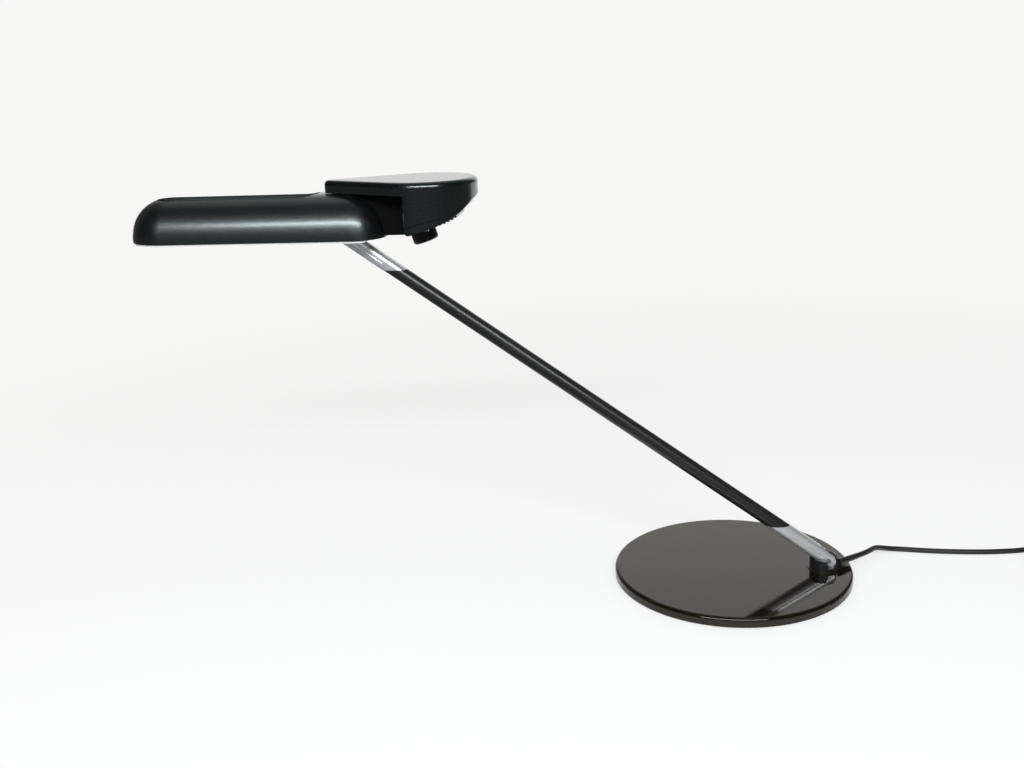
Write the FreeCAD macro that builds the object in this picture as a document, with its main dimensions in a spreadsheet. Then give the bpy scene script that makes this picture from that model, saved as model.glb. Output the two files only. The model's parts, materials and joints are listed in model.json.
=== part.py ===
import FreeCAD, Part
import Sketcher
import math
import os
import re

# Counterweight balance desk lamp: a round steel base, a swivel near the rim, a straight arm
# between two chrome forks, and a head whose ballast housing balances the shade.
# Millimetres. Origin: centre of the base on the table. +Z up, the shade points along -X.

V = FreeCAD.Vector
doc = FreeCAD.newDocument("DeskLamp")
sheet = doc.addObject("Spreadsheet::Sheet", "Sizes")
nodes = []

SIZES = {
    # Base
    "base_dia": 240,  # base disc across
    "base_thick": 9.6,  # steel disc thickness
    "base_top_round": 3.4,  # radius of the disc's top edge
    "base_foot_round": 0.8,  # radius of the disc's bottom edge
    "pad_thick": 1.0,  # felt pad thickness
    "pad_margin": 4,  # felt pad set in from the disc's edge
    "swivel_x": 91.0,  # swivel axis from the base centre, along the arm
    "swivel_y": -4.4,  # swivel axis from the base centre, across the arm
    "recess_rad": 25,  # radius of the recess under the swivel
    "roof_thick": 4.2,  # steel left above the recess
    "seat_gap": 0.05,  # clearance of a fixed or running round seat
    "face_gap": 0.3,  # clearance between pieces that move past each other
    # Swivel
    "turret_rad": 13.9,  # turret cylinder radius
    "turret_top": 23.2,  # turret's highest point above the table
    "turret_slope": 4,  # fall of the turret's top towards the back, degrees
    "turret_step": 14.4,  # height of the turret's low back part above the table
    "step_reach": 2.6,  # how far behind the swivel axis the high part ends
    "flange_rad": 15.9,  # collar flange radius
    "flange_thick": 0.8,  # collar flange thickness
    "spigot_rad": 6.0,  # hollow spigot radius
    "spigot_bore": 4.0,  # hollow spigot bore radius
    "bush_wall": 2.0,  # swivel bush wall
    "bush_flange": 1.2,  # swivel bush flange width
    "bush_flange_thick": 0.8,  # swivel bush flange thickness
    "washer_thick": 0.8,  # wave washer and stop washer thickness
    "stop_washer_rad": 12.6,  # stop washer radius
    "nut_across": 17,  # spigot nut across flats
    "nut_thick": 2.4,  # spigot nut thickness
    "stop_pin_rad": 1.5,  # stop pin radius
    "stop_pin_reach": 11,  # stop pin from the swivel axis
    "stop_pin_seat": 2.5,  # stop pin inside the steel
    "collar_pin_rad": 1.0,  # locating pin radius
    "collar_pin_reach": 11.5,  # locating pins from the swivel axis
    "collar_pin_seat": 2.5,  # locating pins inside the steel
    "swivel_limit": 90,  # turret turn each way, degrees
    "tongue_thick": 6,  # hinge tongue thickness
    "tongue_rad": 9,  # hinge tongue rounding about its pin
    "hinge_washer_thick": 0.3,  # friction washer thickness
    "hinge_washer_rad": 6.6,  # friction washer radius
    "pin_rad": 2.5,  # hinge pin radius
    "tilt_dx": 3.8,  # lower hinge pin behind the swivel axis
    "tilt_z": 20.2,  # lower hinge pin above the table
    # Arm
    "arm_angle": 35.47,  # arm elevation at rest, degrees
    "arm_low": 30.5,  # lowest arm elevation, degrees
    "mitre_angle": 35.47,  # mitre of the tube's ends, degrees
    "bar_size": 14.5,  # fork bar height and width
    "bar_round": 5.6,  # fork bar long edge radius
    "bar_groove": 0.9,  # radius of the groove in the bar's sides
    "lower_bar": 62.6,  # lower hinge pin to the lower mitre
    "tube_length": 461.5,  # tube between its mitres, on the axis
    "upper_bar": 68,  # upper mitre to the upper hinge pin
    "tube_dia": 14.5,  # arm tube diameter
    "tube_wall": 1.4,  # arm tube wall
    "spigot_length": 24,  # fork spigot inside the tube
    "slot_depth": 13.5,  # fork slot depth from its pin
    "cable_dia": 5.5,  # cable diameter
    "cable_bore": 3.4,  # cable bore radius in the forks
    # Shade, measured from the upper hinge pin
    "shade_tip": -206.3,  # shade's far end
    "shade_heel": 52,  # shade's near end
    "shade_rim": -4.9,  # shade's bottom rim
    "shade_height": 42.3,  # shade height
    "shade_width": 82,  # shade width
    "shade_wall": 1.4,  # shade wall
    "tip_power": 2.14,  # curve exponent of the far end
    "heel_power": 3.3,  # curve exponent of the near end
    "side_power": 2.3,  # curve exponent of the sides
    "tip_round": 44.7,  # length of the rounded far end
    "heel_round": 46.4,  # length of the rounded near end
    "heel_draft": 8.3,  # lean of the near end
    "vent_start": -178.6,  # top slot's far end
    "vent_end": -14.6,  # top slot's near end
    "vent_width": 36.6,  # top slot width
    "liner_gap": 1.4,  # reflector lip set in from the shade's face
    "liner_lip": 2.0,  # reflector lip below the rim
    "liner_wall": 1.2,  # reflector wall
    "liner_top": 25,  # reflector's roof above the hinge pin
    "liner_end": -13.5,  # reflector's near end wall
    "liner_reach": 36,  # reflector lip's near end
    "fork_bay": 11.5,  # half width of the opening for the fork
    # Bracket, lamp and switch, measured from the upper hinge pin
    "plate_low": 13,  # bracket plate's underside
    "plate_thick": 3,  # bracket plate thickness
    "plate_width": 28,  # bracket plate width
    "plate_tip": -34,  # bracket plate's far end
    "plate_heel": 109,  # bracket plate's near end
    "tray_start": 82,  # start of the plate's wide part
    "tray_width": 66,  # width of the plate's wide part
    "shade_screw_x": 24,  # shade screws from the hinge pin
    "shade_screw_y": 9,  # shade screws from the middle
    "lead_rad": 0.9,  # lamp lead radius
    "lead_y": 3.0,  # lamp leads from the middle
    "holder_length": 17,  # lamp holder length
    "holder_width": 30,  # lamp holder width
    "holder_height": 14.5,  # lamp holder height
    "lamp_base_length": 30,  # lamp base length
    "lamp_base_width": 27,  # lamp base width
    "lamp_base_height": 13.5,  # lamp base height
    "lamp_length": 124,  # glass tubes' length
    "lamp_tube_rad": 6.2,  # glass tube radius
    "lamp_tube_pitch": 15.2,  # glass tubes' spacing
    "lamp_z": 5.5,  # lamp axis above the hinge pin
    # Counterweight housing, measured from the upper hinge pin
    "block_x": 90,  # centre of the housing's round end
    "block_rad": 51.4,  # radius of the round end
    "nose_x": -0.6,  # centre of the nose
    "nose_rad": 8,  # radius of the nose
    "block_top": 49.4,  # housing's top face
    "block_edge": 5,  # radius of the top edge
    "block_wall": 2.4,  # housing wall
    "lip_low": 37.4,  # underside of the overhanging lip
    "front_x": 75.5,  # front wall under the lip
    "front_round": 8,  # radius of the front wall's upright edges
    "cover_round": 5,  # radius of the cover's lower front edge
    "seam_z": 7.4,  # seam height at the front wall
    "seam_slope": 13.5,  # seam slope, degrees
    "seam_bend_x": 111,  # where the seam turns up
    "seam_end_z": 33.3,  # seam height at the round end
    "cover_inset": 1.6,  # cover set in from the shell's wall
    "cover_front_z": -1.9,  # cover's underside at the front wall
    "cover_slope": 17.4,  # slope of the cover's underside, degrees
    "cover_bend_x": 107.7,  # where the underside turns up
    "cover_gap": 0.2,  # gap at the seam
    "rib_count": 7,  # ribs under the cover
    "rib_pitch": 4.2,  # rib spacing
    "rib_height": 2.0,  # rib height
    "rib_thick": 1.7,  # rib thickness
    "rib_width": 50,  # rib length across the cover
    "rib_start": 99,  # first rib
    "boss_rad": 4.2,  # screw boss radius
    "boss_y": 39.5,  # screw bosses from the middle
    "boss_x": 96,  # screw bosses from the hinge pin
    "screw_rad": 1.6,  # screw shank radius
    "screw_head_rad": 3.0,  # screw head radius
    "screw_seat": 5.0,  # cover screw heads sit at this height
    "ballast_x": 99.5,  # ballast centre
    "ballast_length": 36,  # ballast core along the head
    "ballast_width": 44,  # ballast core across the head
    "ballast_height": 27,  # ballast core height
    "coil_bulge": 8,  # ballast winding past the core
    "terminal_length": 11,  # terminal block along the head
    "terminal_width": 28,  # terminal block across the head
    "terminal_height": 13,  # terminal block height
    "neck_width": 34.4,  # neck width
    "neck_inset": 1.2,  # neck set in from the housing's outline
    "neck_top": 37.1,  # neck's top face
    "neck_low": -3.2,  # neck's underside
    "knob_x": 84.9,  # knob axis on the cover's underside
    "knob_rad": 12.5,  # knob radius
    "knob_height": 12.3,  # knob height
    "knob_flutes": 36,  # fine flutes round the knob
    "flute_rad": 0.45,  # flute radius
    "knob_rim": 2.8,  # radius of the knob's outer rim
    "knob_collar_rad": 11.6,  # collar radius above the knob
    "knob_collar_thick": 1.2,  # collar thickness
    "switch_rad": 3.5,  # switch body radius
    "switch_height": 4.4,  # switch body height
    "shaft_rad": 2.4,  # switch shaft radius
    # Cord
    "cord_dia": 5.5,  # mains cord diameter
    "outlet_z": 16.3,  # cord outlet axis above the table
    "outlet_dx": 14.8,  # cord outlet behind the swivel axis
    "outlet_dy": -0.5,  # cord outlet across from the swivel axis
    "outlet_angle": 38,  # cord outlet direction, degrees
    "cable_down": 3.2,  # cable hole from the outlet's inner end
    "inner_cable_dia": 3.4,  # stripped cable in the base
    "lug_length": 7,  # outlet lug length
    "lug_rad": 4.0,  # outlet lug radius
    "relief_root_rad": 3.3,  # strain relief radius at the lug
    "relief_tip_rad": 2.9,  # strain relief radius at its tip
    "relief_length": 20,  # strain relief length outside the lug
    "coil_x": 350,  # coil centre from the base centre
    "coil_y": 26.6,  # coil centre from the base centre
    "coil_mean_rad": 33,  # coil radius at the middle of its turns
    "coil_turns": 3.625,  # coil turns in each layer
    "coil_pitch": 5.95,  # spacing of the coil's turns and layers
    "tie_width": 12,  # tie width
    "tie_thick": 0.8,  # tie thickness
    "plug_relief_length": 32,  # plug's own strain relief
    "plug_length": 38,  # plug body length
    "plug_width": 35,  # plug body width
    "plug_pin_rad": 2.0,  # plug pin radius
    "plug_pin_length": 19,  # plug pin length
    "plug_pin_spacing": 19,  # plug pin spacing
}
for row, alias in enumerate(SIZES, 1):
    sheet.set(f"A{row}", alias.replace("_", " "))
    sheet.set(f"B{row}", str(SIZES[alias]))
    sheet.setAlias(f"B{row}", alias)
doc.recompute()


def val(alias):
    """A size as the sheet holds it."""
    return float(sheet.get(alias))


names = re.compile(r"\b(" + "|".join(sorted(SIZES, key=len, reverse=True)) + r")\b")


def bind(thing, prop, formula):
    """Tie a property to a formula in the sheet's aliases."""
    thing.setExpression(prop, names.sub(r"Sizes.\1", str(formula)))


def spot(thing, x=0, y=0, z=0):
    """Tie a thing's place to formulas."""
    for letter, formula in zip("xyz", (x, y, z)):
        if formula != 0:
            bind(thing, f"Placement.Base.{letter}", formula)


def turn(thing, axis, angle):
    """Turn a thing about an axis through its own origin, by a formula in degrees."""
    thing.Placement = FreeCAD.Placement(V(0, 0, 0), FreeCAD.Rotation(V(*axis), 10))
    bind(thing, "Placement.Rotation.Angle", angle)


LYING = {"x": ((0, 1, 0), 90), "y": ((-1, 0, 0), 90), "z": None}


def rod(name, radius, length, x=0, y=0, z=0, along="z"):
    """A cylinder from its base centre along x, y or z."""
    thing = doc.addObject("Part::Cylinder", name)
    bind(thing, "Radius", radius)
    bind(thing, "Height", length)
    if LYING[along]:
        axis, angle = LYING[along]
        thing.Placement = FreeCAD.Placement(V(0, 0, 0), FreeCAD.Rotation(V(*axis), angle))
    spot(thing, x, y, z)
    return thing


def block(name, length, width, height, x=0, y=None, z=0):
    """A box from its low x and z corner, centred on y unless its low y is given."""
    thing = doc.addObject("Part::Box", name)
    bind(thing, "Length", length)
    bind(thing, "Width", width)
    bind(thing, "Height", height)
    spot(thing, x, f"-({width})/2" if y is None else y, z)
    return thing


def cut(name, base, *tools):
    """Base less every tool."""
    thing = doc.addObject("Part::Cut", name)
    thing.Base = base
    thing.Tool = tools[0] if len(tools) == 1 else join(name + "_tools", *tools)
    return thing


def join(name, *things):
    """All things as one."""
    thing = doc.addObject("Part::MultiFuse", name)
    thing.Shapes = list(things)
    thing.Refine = True
    return thing


def common(name, first, second):
    """What two things share."""
    thing = doc.addObject("Part::Common", name)
    thing.Base = first
    thing.Tool = second
    return thing


def group(name, *things):
    """Separate solids in one node."""
    thing = doc.addObject("Part::Compound", name)
    thing.Links = list(things)
    return thing


def formed(name, shape):
    """A node whose shape is worked out here from the sheet."""
    thing = doc.addObject("Part::Feature", name)
    thing.Shape = shape
    return thing


PLACES = {
    "base": (0, 0, 0),
    "turret": ("swivel_x", "swivel_y", 0),
    "arm": ("swivel_x + tilt_dx", "swivel_y", "tilt_z"),
    "head": (
        "swivel_x + tilt_dx - (lower_bar + tube_length + upper_bar) * cos(arm_angle)",
        "swivel_y",
        "tilt_z + (lower_bar + tube_length + upper_bar) * sin(arm_angle)",
    ),
    "outlet": ("swivel_x + outlet_dx", "swivel_y + outlet_dy", "outlet_z"),
}
PLACES["knob"] = (
    PLACES["head"][0] + " + knob_x",
    "swivel_y",
    PLACES["head"][2] + " + cover_front_z + (knob_x - front_x) * tan(cover_slope)",
)
TURNS = {
    "arm": ((0, 1, 0), "arm_angle"),
    "outlet": ((0, 0, 1), "outlet_angle"),
    "knob": ((0, 1, 0), "180 - cover_slope"),
}


def node(thing, label, place):
    """Name a sub-part and put it where its group of pieces stands."""
    if thing.TypeId in ("Part::Cylinder", "Part::Box", "Part::Cone"):
        thing = group(thing.Name + "Placed", thing)
    thing.Label = label
    if place in TURNS:
        turn(thing, *TURNS[place])
    spot(thing, *PLACES[place])
    nodes.append(thing)
    return thing


def new_body(name):
    return doc.addObject("PartDesign::Body", name)


def plane_of(body, role):
    """One of the body's own origin planes."""
    return next(f for f in body.Origin.OriginFeatures if f.Role == role)


def circle_sketch(body, name, radius, x=0, y=0, z=0):
    """A circle on the body's XY plane, its centre moved by formulas."""
    sketch = body.newObject("Sketcher::SketchObject", name)
    sketch.AttachmentSupport = [(plane_of(body, "XY_Plane"), "")]
    sketch.MapMode = "FlatFace"
    ring = sketch.addGeometry(Part.Circle(V(0, 0, 0), V(0, 0, 1), 5), False)
    sketch.addConstraint(Sketcher.Constraint("Coincident", ring, 3, -1, 1))
    sketch.addConstraint(Sketcher.Constraint("Radius", ring, 5))
    sketch.renameConstraint(1, "radius")
    bind(sketch, "Constraints.radius", radius)
    for letter, formula in zip("xyz", (x, y, z)):
        if formula != 0:
            bind(sketch, f"AttachmentOffset.Base.{letter}", formula)
    return sketch


def pad(body, name, sketch, length):
    feature = body.newObject("PartDesign::Pad", name)
    feature.Profile = sketch
    bind(feature, "Length", length)
    return feature


def pocket(body, name, sketch, length, upwards=False):
    """Cut down from the sketch, or up from it."""
    feature = body.newObject("PartDesign::Pocket", name)
    feature.Profile = sketch
    feature.Reversed = upwards
    bind(feature, "Length", length)
    return feature


def edges_at(shape, z, radius):
    """Names of the round edges of a radius at a height."""
    found = []
    for i, edge in enumerate(shape.Edges, 1):
        box = edge.BoundBox
        round_one = isinstance(edge.Curve, Part.Circle) and abs(edge.Curve.Radius - radius) < 0.01
        if round_one and abs(box.ZMin - z) < 0.01 and abs(box.ZMax - z) < 0.01:
            found.append(f"Edge{i}")
    return found


# Base plate and pad
BASE_TOP = "(pad_thick + base_thick)"
ROOF = "(pad_thick + base_thick - roof_thick)"
BUSH_RAD = "(spigot_rad + seat_gap + bush_wall)"


def make_base_plate():
    body = new_body("BasePlate")
    disc = pad(body, "Disc", circle_sketch(body, "DiscOutline", "base_dia / 2", z="pad_thick"),
               "base_thick")
    doc.recompute()
    last = disc
    for name, level, radius in (("TopRound", val("pad_thick") + val("base_thick"), "base_top_round"),
                                ("FootRound", val("pad_thick"), "base_foot_round")):
        fillet = body.newObject("PartDesign::Fillet", name)
        fillet.Base = (last, edges_at(last.Shape, level, val("base_dia") / 2))
        bind(fillet, "Radius", radius)
        doc.recompute()
        last = fillet
    recess = circle_sketch(body, "RecessOutline", "recess_rad", "swivel_x", "swivel_y", "pad_thick")
    pocket(body, "Recess", recess, "base_thick - roof_thick", upwards=True)
    bush = circle_sketch(body, "BushHoleOutline", BUSH_RAD + " + seat_gap", "swivel_x", "swivel_y",
                         BASE_TOP)
    pocket(body, "BushHole", bush, "roof_thick + 1")
    cable = circle_sketch(body, "CableHoleOutline", "cable_dia / 2 + face_gap",
                          f"swivel_x + outlet_dx + {DOWN_X}", f"swivel_y + outlet_dy + {DOWN_Y}",
                          BASE_TOP)
    pocket(body, "CableHole", cable, "roof_thick + 1")
    stop = circle_sketch(body, "StopHoleOutline", "stop_pin_rad + seat_gap",
                         "swivel_x - stop_pin_reach", "swivel_y", ROOF)
    pocket(body, "StopHole", stop, "stop_pin_seat", upwards=True)
    for sign, word in ((1, "Left"), (-1, "Right")):
        hole = circle_sketch(body, word + "PinHoleOutline", "collar_pin_rad + seat_gap",
                             "swivel_x", f"swivel_y + {sign} * collar_pin_reach", BASE_TOP)
        pocket(body, word + "PinHole", hole, "collar_pin_seat")
    node(body, "base_plate", "base")


def make_base():
    """What stands still under and around the swivel."""
    make_base_plate()
    pad_body = new_body("BasePad")
    pad(pad_body, "PadDisc", circle_sketch(pad_body, "PadOutline", "base_dia / 2 - pad_margin"),
        "pad_thick")
    node(pad_body, "base_pad", "base")

    sleeve = rod("BushSleeve", BUSH_RAD, "roof_thick", z=ROOF)
    flange = rod("BushFlange", BUSH_RAD + " + bush_flange", "bush_flange_thick",
                 z=ROOF + " - bush_flange_thick")
    bore = rod("BushBore", "spigot_rad + seat_gap", "base_thick + 2", z="pad_thick")
    node(cut("Bush", join("BushBlank", sleeve, flange), bore), "swivel_bush", "turret")

    flange = rod("CollarFlange", "flange_rad", "flange_thick", z=BASE_TOP)
    lug = rod("Lug", "lug_rad", "lug_length", along="x")
    foot = block("LugFoot", "lug_length", "2 * lug_rad", f"outlet_z - {BASE_TOP}",
                 z=f"{BASE_TOP} - outlet_z")
    lug_mid = group("LugTurned", join("LugWhole", lug, foot))
    turn(lug_mid, (0, 0, 1), "outlet_angle")
    spot(lug_mid, "outlet_dx", "outlet_dy", "outlet_z")
    around = rod("TurretRoom", "turret_rad + face_gap", "outlet_z + lug_rad",
                 z=BASE_TOP + " + flange_thick")
    spigot_hole = rod("CollarBore", "spigot_rad + face_gap", "flange_thick + 2", z=BASE_TOP + " - 1")
    down = rod("CableDown", "cable_dia / 2 + face_gap",
               "outlet_z - pad_thick - base_thick + inner_cable_dia / 2 + 2",
               f"outlet_dx + {DOWN_X}", f"outlet_dy + {DOWN_Y}", BASE_TOP + " - 1")
    inlet = rod("CableInlet", "inner_cable_dia / 2 + face_gap", "lug_length - cable_down + 1",
                x="cable_down", along="x")
    inlet_mid = group("CableInletTurned", inlet)
    turn(inlet_mid, (0, 0, 1), "outlet_angle")
    spot(inlet_mid, "outlet_dx", "outlet_dy", "outlet_z")
    pin_holes = [rod(f"CollarPinHole{i}", "collar_pin_rad + seat_gap", "flange_thick + 2",
                     y=f"{sign} * collar_pin_reach", z=BASE_TOP + " - 1")
                 for i, sign in enumerate((1, -1))]
    collar = cut("Collar", join("CollarBlank", flange, lug_mid), around, spigot_hole, down, inlet_mid,
                 *pin_holes)
    node(collar, "swivel_collar", "turret")

    pins = [rod(f"CollarPin{i}", "collar_pin_rad", "collar_pin_seat + flange_thick",
                y=f"{sign} * collar_pin_reach",
                z=BASE_TOP + " - collar_pin_seat") for i, sign in enumerate((1, -1))]
    node(group("CollarPins", *pins), "collar_pins", "turret")
    stop = rod("StopPin", "stop_pin_rad", f"{ROOF} + stop_pin_seat - {NUT_TOP} - 0.1",
               x="-stop_pin_reach", z=NUT_TOP + " + 0.1")
    node(stop, "stop_pin", "turret")

    relief = doc.addObject("Part::Cone", "Relief")
    bind(relief, "Radius1", "relief_root_rad")
    bind(relief, "Radius2", "relief_tip_rad")
    bind(relief, "Height", "relief_length")
    relief.Placement = FreeCAD.Placement(V(0, 0, 0), FreeCAD.Rotation(V(0, 1, 0), 90))
    spot(relief, x="lug_length")
    node(relief, "strain_relief", "outlet")


# Swivel levels, from the recess roof down to the nut, and the turret's underside
BUSH_LOW = f"({ROOF} - bush_flange_thick)"
WAVE_TOP = f"({BUSH_LOW} - face_gap)"
NUT_TOP = f"({WAVE_TOP} - 2 * washer_thick)"
TURRET_LOW = f"({BASE_TOP} + flange_thick + face_gap)"
DOWN_X = "cable_down * cos(outlet_angle)"
DOWN_Y = "cable_down * sin(outlet_angle)"
BAR_HALF = "(bar_size / 2)"
SLOT_HALF = "(tongue_thick / 2 + hinge_washer_thick + face_gap)"
BAR_ROOM = "(bar_size / 2 + face_gap + 0.1)"


def make_turret():
    """The cylinder that turns on the base, with the hinge tongue and the hollow spigot."""
    drum = rod("TurretDrum", "turret_rad", f"turret_top - {TURRET_LOW}", z=TURRET_LOW)
    slope = block("TurretSlope", 60, 60, 40)
    slope_mid = group("TurretSlopeTurned", slope)
    turn(slope_mid, (0, 1, 0), "turret_slope")
    spot(slope_mid, x="-turret_rad", z="turret_top")
    step = block("TurretStep", 30, 60, 40, x="step_reach", z="turret_step")
    sweep = block("ForkSweep", 60, f"2 * {BAR_ROOM}", 60, x=-60, z=f"-{BAR_ROOM}")
    sweep_mid = group("ForkSweepTurned", sweep)
    turn(sweep_mid, (0, 1, 0), "arm_low")
    spot(sweep_mid, "tilt_dx", 0, "tilt_z")
    tip = rod("ForkTipRoom", BAR_ROOM, f"2 * {BAR_ROOM}", "tilt_dx", f"-{BAR_ROOM}", "tilt_z", along="y")
    above = block("ForkRoomAbove", f"{BAR_ROOM} + 1", f"2 * {BAR_ROOM}", 40, x="tilt_dx - 1", z="tilt_z")
    drum_cut = cut("TurretDrumCut", drum, slope_mid, step, sweep_mid, tip, above)
    tongue_round = rod("TongueRound", "tongue_rad", "tongue_thick", "tilt_dx", "-tongue_thick / 2",
                       "tilt_z", along="y")
    tongue_foot = block("TongueFoot", "2 * tongue_rad", "tongue_thick", f"tilt_z - {TURRET_LOW}",
                        x="tilt_dx - tongue_rad", z=TURRET_LOW)
    inside = rod("TongueLimit", "turret_rad", 60, z=TURRET_LOW)
    tongue = common("Tongue", join("TongueBlank", tongue_round, tongue_foot), inside)
    spigot = rod("Spigot", "spigot_rad", f"{TURRET_LOW} - {NUT_TOP} + nut_thick",
                 z=f"{NUT_TOP} - nut_thick")
    bore = rod("SpigotBore", "spigot_bore", f"{TURRET_LOW} - {NUT_TOP} + nut_thick + 1",
               z=f"{NUT_TOP} - nut_thick - 1")
    pin_hole = rod("TurretPinHole", "pin_rad + seat_gap", 40, "tilt_dx", -20, "tilt_z", along="y")
    turret = cut("Turret", join("TurretBlank", drum_cut, tongue, spigot), bore, pin_hole)
    node(turret, "turret", "turret")

    wave = cut("WaveWasher", rod("WaveDisc", BUSH_RAD + " + 1", "washer_thick",
                                 z=WAVE_TOP + " - washer_thick"),
               rod("WaveBore", "spigot_rad + seat_gap", 4, z=WAVE_TOP + " - washer_thick - 1"))
    node(wave, "wave_washer", "turret")
    disc = rod("StopDisc", BUSH_RAD + " + 1", "washer_thick", z=NUT_TOP)
    sector = rod("StopSector", "stop_washer_rad", "washer_thick", z=NUT_TOP)
    spread = "(180 - swivel_limit - asin((stop_pin_rad + 0.2) / stop_pin_reach) / 1 deg)"
    bind(sector, "Angle", f"2 * {spread}")
    turn(sector, (0, 0, 1), f"360 - {spread}")
    spot(sector, z=NUT_TOP)
    stop = cut("StopWasher", join("StopBlank", disc, sector),
               rod("StopBore", "spigot_rad + seat_gap", 4, z=NUT_TOP + " - 1"))
    node(stop, "stop_washer", "turret")
    hexagon = doc.addObject("Part::Prism", "NutBlank")
    hexagon.Polygon = 6
    bind(hexagon, "Circumradius", "nut_across / sqrt(3)")
    bind(hexagon, "Height", "nut_thick")
    spot(hexagon, z=NUT_TOP + " - nut_thick")
    nut = cut("Nut", hexagon, rod("NutBore", "spigot_rad + seat_gap", 6, z=NUT_TOP + " - nut_thick - 1"))
    node(nut, "swivel_nut", "turret")

    pin = rod("TiltPin", "pin_rad", "bar_size", "tilt_dx", f"-{BAR_HALF}", "tilt_z", along="y")
    node(pin, "tilt_pin", "turret")
    node(hinge_washers("Tilt", "tilt_dx", "tilt_z"), "tilt_washers", "turret")


def hinge_washers(name, x, z):
    """A friction washer on each side of a hinge tongue."""
    pair = []
    for word, low in (("Far", "tongue_thick / 2"), ("Near", "-tongue_thick / 2 - hinge_washer_thick")):
        disc = rod(f"{name}{word}Disc", "hinge_washer_rad", "hinge_washer_thick", x, low, z, along="y")
        hole = rod(f"{name}{word}Hole", "pin_rad + seat_gap", 4, x, f"{low} - 1", z, along="y")
        pair.append(cut(f"{name}{word}Washer", disc, hole))
    return group(f"{name}Washers", *pair)


# Arm, along -X from the lower hinge pin before it is raised
LOWER_CUT = "(-lower_bar)"
UPPER_CUT = "(-lower_bar - tube_length)"
HEAD_PIN = "(-lower_bar - tube_length - upper_bar)"


def mitre(name, x, upwards):
    """A thick disc on one side of a mitre plane: all above it, or all below it."""
    disc = rod(name, 60, 90)
    turn(disc, (0, 1, 0), "360 - mitre_angle" if upwards else "180 - mitre_angle")
    spot(disc, x)
    return disc


def square_bar(name, low_x, length):
    """A square bar along X with rounded long edges."""
    body = new_body(name)
    sketch = body.newObject("Sketcher::SketchObject", name + "Section")
    sketch.AttachmentSupport = [(plane_of(body, "YZ_Plane"), "")]
    sketch.MapMode = "FlatFace"
    corners = [V(-5, -5, 0), V(5, -5, 0), V(5, 5, 0), V(-5, 5, 0)]
    for i in range(4):
        sketch.addGeometry(Part.LineSegment(corners[i], corners[(i + 1) % 4]), False)
    for i in range(4):
        sketch.addConstraint(Sketcher.Constraint("Coincident", i, 2, (i + 1) % 4, 1))
        sketch.addConstraint(Sketcher.Constraint("Horizontal" if i % 2 == 0 else "Vertical", i))
    sketch.addConstraint(Sketcher.Constraint("Symmetric", 0, 1, 2, 1, -1, 1))
    sketch.addConstraint(Sketcher.Constraint("Equal", 0, 1))
    across = sketch.addConstraint(Sketcher.Constraint("DistanceX", 0, 1, 0, 2, 10))
    sketch.renameConstraint(across, "across")
    bind(sketch, "Constraints.across", "bar_size")
    bind(sketch, "AttachmentOffset.Base.z", low_x)
    bar = pad(body, name + "Pad", sketch, length)
    doc.recompute()
    long_edges = []
    for i, edge in enumerate(bar.Shape.Edges, 1):
        if edge.BoundBox.XLength > 20:
            long_edges.append(f"Edge{i}")
    fillet = body.newObject("PartDesign::Fillet", name + "Rounds")
    fillet.Base = (bar, long_edges)
    bind(fillet, "Radius", "bar_round")
    return body


def make_fork(name, label, pin, cut_x, sign, groove_start, groove_length):
    """A chrome bar with its hinge slot, side grooves and spigot; sign is +1 with the pin towards +X."""
    length = "(lower_bar + bar_size / 2 + 20)" if sign > 0 else "(upper_bar + bar_size / 2 + 20)"
    low = f"{cut_x} - 20" if sign > 0 else f"{pin} - {BAR_HALF}"
    bar = square_bar(name + "Bar", low, length)
    tip = rod(name + "Tip", BAR_HALF, 40, pin, -20, 0, along="y")
    straight = block(name + "Straight", length, 40, 40, x=f"{low}" if sign > 0 else pin, z=-20)
    bind(straight, "Length", f"{pin} - ({low})" if sign > 0 else length)
    rounded = common(name + "Rounded", bar, join(name + "Outline", tip, straight))
    slot_low = f"{pin} - slot_depth" if sign > 0 else f"{pin} - bar_size"
    slot = block(name + "Slot", "slot_depth + bar_size", f"2 * {SLOT_HALF}", 40, x=slot_low, z=-20)
    grooves = [rod(f"{name}Groove{i}", "bar_groove", groove_length, groove_start,
                   f"{side} * bar_size / 2", 0, along="x")
               for i, side in enumerate((1, -1))]
    pin_hole = rod(name + "PinHole", "pin_rad + seat_gap", 40, pin, -20, 0, along="y")
    mitred = cut(name + "Mitred", rounded, mitre(name + "Mitre", cut_x, sign > 0), slot, pin_hole,
                 *grooves)
    spigot_low = f"{cut_x} - spigot_length" if sign > 0 else f"{cut_x} - 12"
    spigot = rod(name + "Spigot", "tube_dia / 2 - tube_wall - seat_gap", "spigot_length + 12", spigot_low,
                 along="x")
    bore_low = f"{cut_x} - spigot_length - 1" if sign > 0 else f"{pin} + slot_depth - 1"
    bar = "lower_bar" if sign > 0 else "upper_bar"
    bore_length = f"spigot_length + {bar} - slot_depth + 2"
    bore = rod(name + "Bore", "cable_bore", bore_length, bore_low, along="x")
    node(cut(name, join(name + "Blank", mitred, spigot), bore), label, "arm")


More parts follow.
